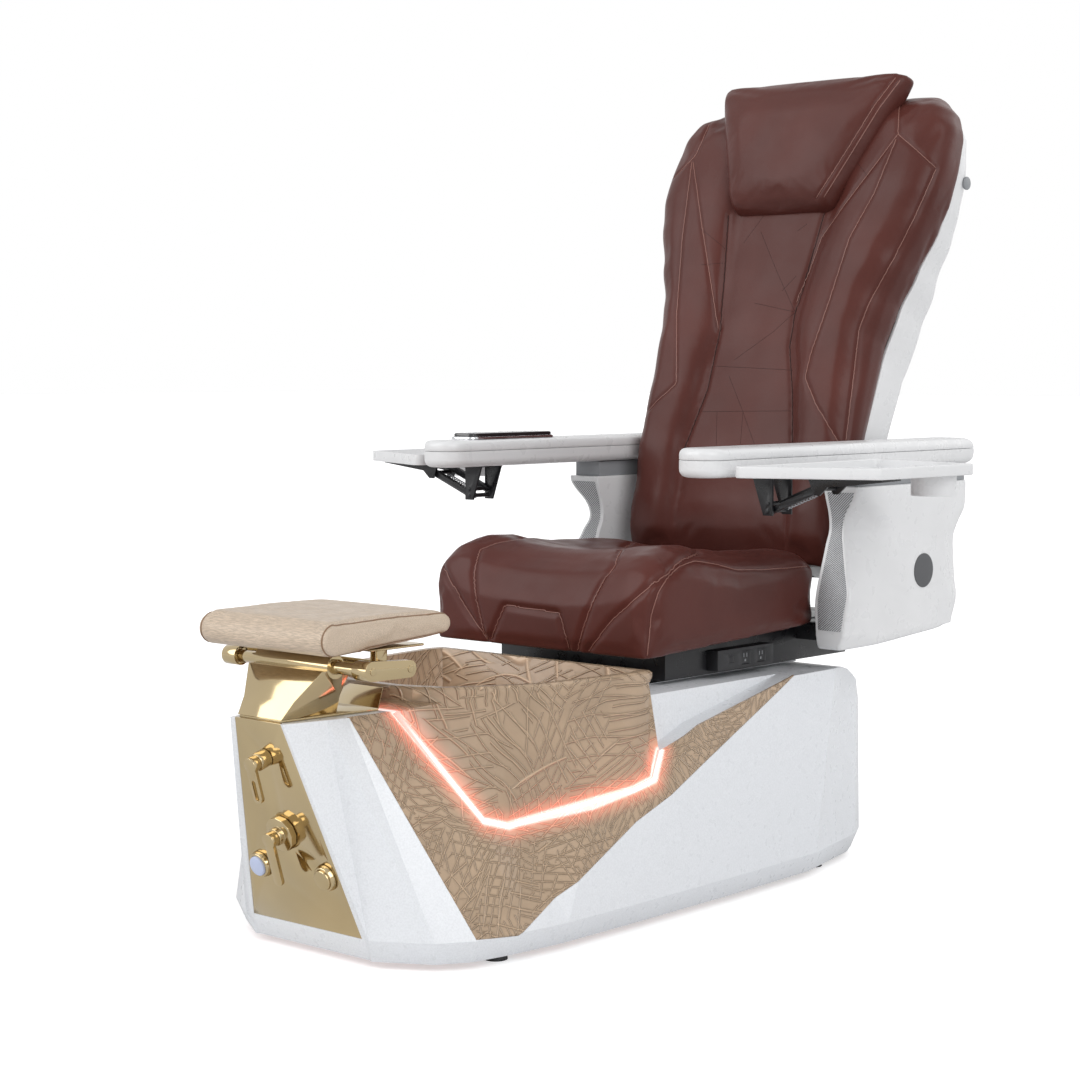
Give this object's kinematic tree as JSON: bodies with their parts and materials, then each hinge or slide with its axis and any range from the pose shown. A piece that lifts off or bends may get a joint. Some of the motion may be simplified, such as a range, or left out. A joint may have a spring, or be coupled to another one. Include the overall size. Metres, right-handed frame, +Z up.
{
  "type": "pedicure chair",
  "caption": "Reclining pedicure chair with a lit foot basin, sliding seat, lifting arms, drop-down side trays and a tilting footrest.",
  "frame": {"origin": "on the floor at the bottom centre of the whole chair's bounding box", "axes": "+X to the sitter's left, +Y from the footrest towards the back, +Z up"},
  "size_m": [1.2448, 1.6743, 1.5264],
  "materials": {
    "ivory_shell": "gloss",
    "gold_metal": "polished",
    "crackle_acrylic": "gloss",
    "light_tube": "gloss",
    "chrome_trim": "polished",
    "black_steel": "satin",
    "plain_steel": "satin",
    "grey_plastic": "satin",
    "black_plastic": "satin",
    "pale_button": "gloss",
    "brown_leather": "satin",
    "tan_leather": "satin",
    "black_glass": "gloss"
  },
  "bodies": {
    "base": {"base_shell": "ivory_shell", "basin": "crackle_acrylic", "accent_panels": "crackle_acrylic", "led_strips": "light_tube", "front_panel": "gold_metal", "deck_plate": "gold_metal", "feet": "black_steel", "drain_strainer": "chrome_trim", "jet_base": "chrome_trim", "jet_cover": "chrome_trim", "spout": "chrome_trim", "seat_rails": "plain_steel", "valve_hubs": "gold_metal", "button_rings": "gold_metal", "pedestal": "gold_metal", "cross_shaft": "gold_metal"},
    "jet_rotor": {"jet_impeller": "grey_plastic"},
    "upper_handle": {"upper_lever": "gold_metal"},
    "lower_handle": {"lower_lever": "gold_metal"},
    "left_push": {"left_button": "pale_button"},
    "right_push": {"right_button": "gold_metal"},
    "footrest_arm": {"footrest_links": "gold_metal"},
    "footrest_head": {"pad_bracket": "gold_metal", "footrest_pad": "tan_leather"},
    "seat": {"seat_frame": "black_steel", "power_strip": "black_plastic", "seat_cushion": "brown_leather", "post_left": "ivory_shell", "post_right": "ivory_shell", "post_inserts": "grey_plastic", "arm_collars": "grey_plastic", "arm_pins": "plain_steel", "recline_pin": "plain_steel"},
    "back": {"back_frame": "black_steel", "back_shell": "ivory_shell", "back_cushion": "brown_leather", "head_pillow": "brown_leather", "side_caps": "grey_plastic"},
    "carriage": {"massage_carriage": "plain_steel"},
    "rollers": {"massage_rollers": "grey_plastic"},
    "left_arm": {"arm_base_left": "ivory_shell", "arm_pad_left": "ivory_shell", "tray_bracket_left": "black_steel"},
    "right_arm": {"arm_base_right": "ivory_shell", "arm_pad_right": "ivory_shell", "remote": "black_glass", "tray_bracket_right": "black_steel"},
    "left_lower": {"lower_link_left": "black_steel", "link_spring_left": "plain_steel"},
    "right_lower": {"lower_link_right": "black_steel", "link_spring_right": "plain_steel"},
    "left_upper": {"upper_link_left": "black_steel"},
    "right_upper": {"upper_link_right": "black_steel"},
    "left_tray": {"tray_channel_left": "black_steel", "tray_left": "ivory_shell", "cup_left": "ivory_shell"},
    "right_tray": {"tray_channel_right": "black_steel", "tray_right": "ivory_shell", "cup_right": "ivory_shell"}
  },
  "joints": [
    {"name": "jet_spin", "type": "hinge", "parent": "base", "child": "jet_rotor", "pos_m": [0, -0.524, 0.23], "axis": [0, 0.9651, 0.262], "continuous": true},
    {"name": "upper_lever_turn", "type": "hinge", "parent": "base", "child": "upper_handle", "pos_m": [0, -0.79822, 0.33898], "axis": [0, -0.9601, -0.2798], "range_deg": [-60, 60]},
    {"name": "lower_lever_turn", "type": "hinge", "parent": "base", "child": "lower_handle", "pos_m": [0, -0.76128, 0.21225], "axis": [0, -0.9601, -0.2798], "range_deg": [0, 90]},
    {"name": "left_button_press", "type": "slide", "parent": "base", "child": "left_push", "axis": [0, 0.9601, 0.2798], "range_m": [0, 0.004], "stiffness_N_per_m": 600, "springref_m": -0.003},
    {"name": "right_button_press", "type": "slide", "parent": "base", "child": "right_push", "axis": [0, 0.9601, 0.2798], "range_m": [0, 0.004], "stiffness_N_per_m": 600, "springref_m": -0.003},
    {"name": "footrest_lift", "type": "hinge", "parent": "base", "child": "footrest_arm", "pos_m": [0, -0.727, 0.484], "axis": [1, 0, 0], "range_deg": [0, 50]},
    {"name": "footrest_tilt", "type": "hinge", "parent": "footrest_arm", "child": "footrest_head", "pos_m": [0, -0.644, 0.481], "axis": [-1, 0, 0], "range_deg": [0, 22]},
    {"name": "seat_slide", "type": "slide", "parent": "base", "child": "seat", "axis": [0, 1, 0], "range_m": [-0.1, 0.06]},
    {"name": "back_recline", "type": "hinge", "parent": "seat", "child": "back", "pos_m": [0, 0.444, 0.5], "axis": [-1, 0, 0], "range_deg": [-4, 28]},
    {"name": "carriage_travel", "type": "slide", "parent": "back", "child": "carriage", "axis": [0, 0.3616, 0.9323], "range_m": [-0.08, 0.42]},
    {"name": "roller_spin", "type": "hinge", "parent": "carriage", "child": "rollers", "pos_m": [0, 0.52864, 0.7514], "axis": [1, 0, 0], "continuous": true},
    {"name": "left_arm_lift", "type": "hinge", "parent": "seat", "child": "left_arm", "pos_m": [0.31, 0.724, 0.795], "axis": [-1, 0, 0], "range_deg": [0, 50]},
    {"name": "left_tray_lower", "type": "hinge", "parent": "left_arm", "child": "left_lower", "pos_m": [0.362, 0.081, 0.708], "axis": [0, 1, 0], "range_deg": [0, 21]},
    {"name": "left_tray_level", "type": "hinge", "parent": "left_lower", "child": "left_tray", "pos_m": [0.46592, 0.081, 0.74977], "axis": [0, 1, 0], "range_deg": [-21, 0]},
    {"name": "left_upper_link_swing", "type": "hinge", "parent": "left_arm", "child": "left_upper", "pos_m": [0.362, 0.081, 0.721], "axis": [0, 1, 0], "range_deg": [0, 21]},
    {"name": "right_arm_lift", "type": "hinge", "parent": "seat", "child": "right_arm", "pos_m": [-0.31, 0.724, 0.795], "axis": [-1, 0, 0], "range_deg": [0, 50]},
    {"name": "right_tray_lower", "type": "hinge", "parent": "right_arm", "child": "right_lower", "pos_m": [-0.362, 0.081, 0.708], "axis": [0, -1, 0], "range_deg": [0, 21]},
    {"name": "right_tray_level", "type": "hinge", "parent": "right_lower", "child": "right_tray", "pos_m": [-0.46592, 0.081, 0.74977], "axis": [0, -1, 0], "range_deg": [-21, 0]},
    {"name": "right_upper_link_swing", "type": "hinge", "parent": "right_arm", "child": "right_upper", "pos_m": [-0.362, 0.081, 0.721], "axis": [0, -1, 0], "range_deg": [0, 21]}
  ],
  "couplings": [
    {"joint": "left_tray_level", "follows": "left_tray_lower", "ratio": -1},
    {"joint": "left_upper_link_swing", "follows": "left_tray_lower", "ratio": 1},
    {"joint": "right_tray_level", "follows": "right_tray_lower", "ratio": -1},
    {"joint": "right_upper_link_swing", "follows": "right_tray_lower", "ratio": 1}
  ]
}
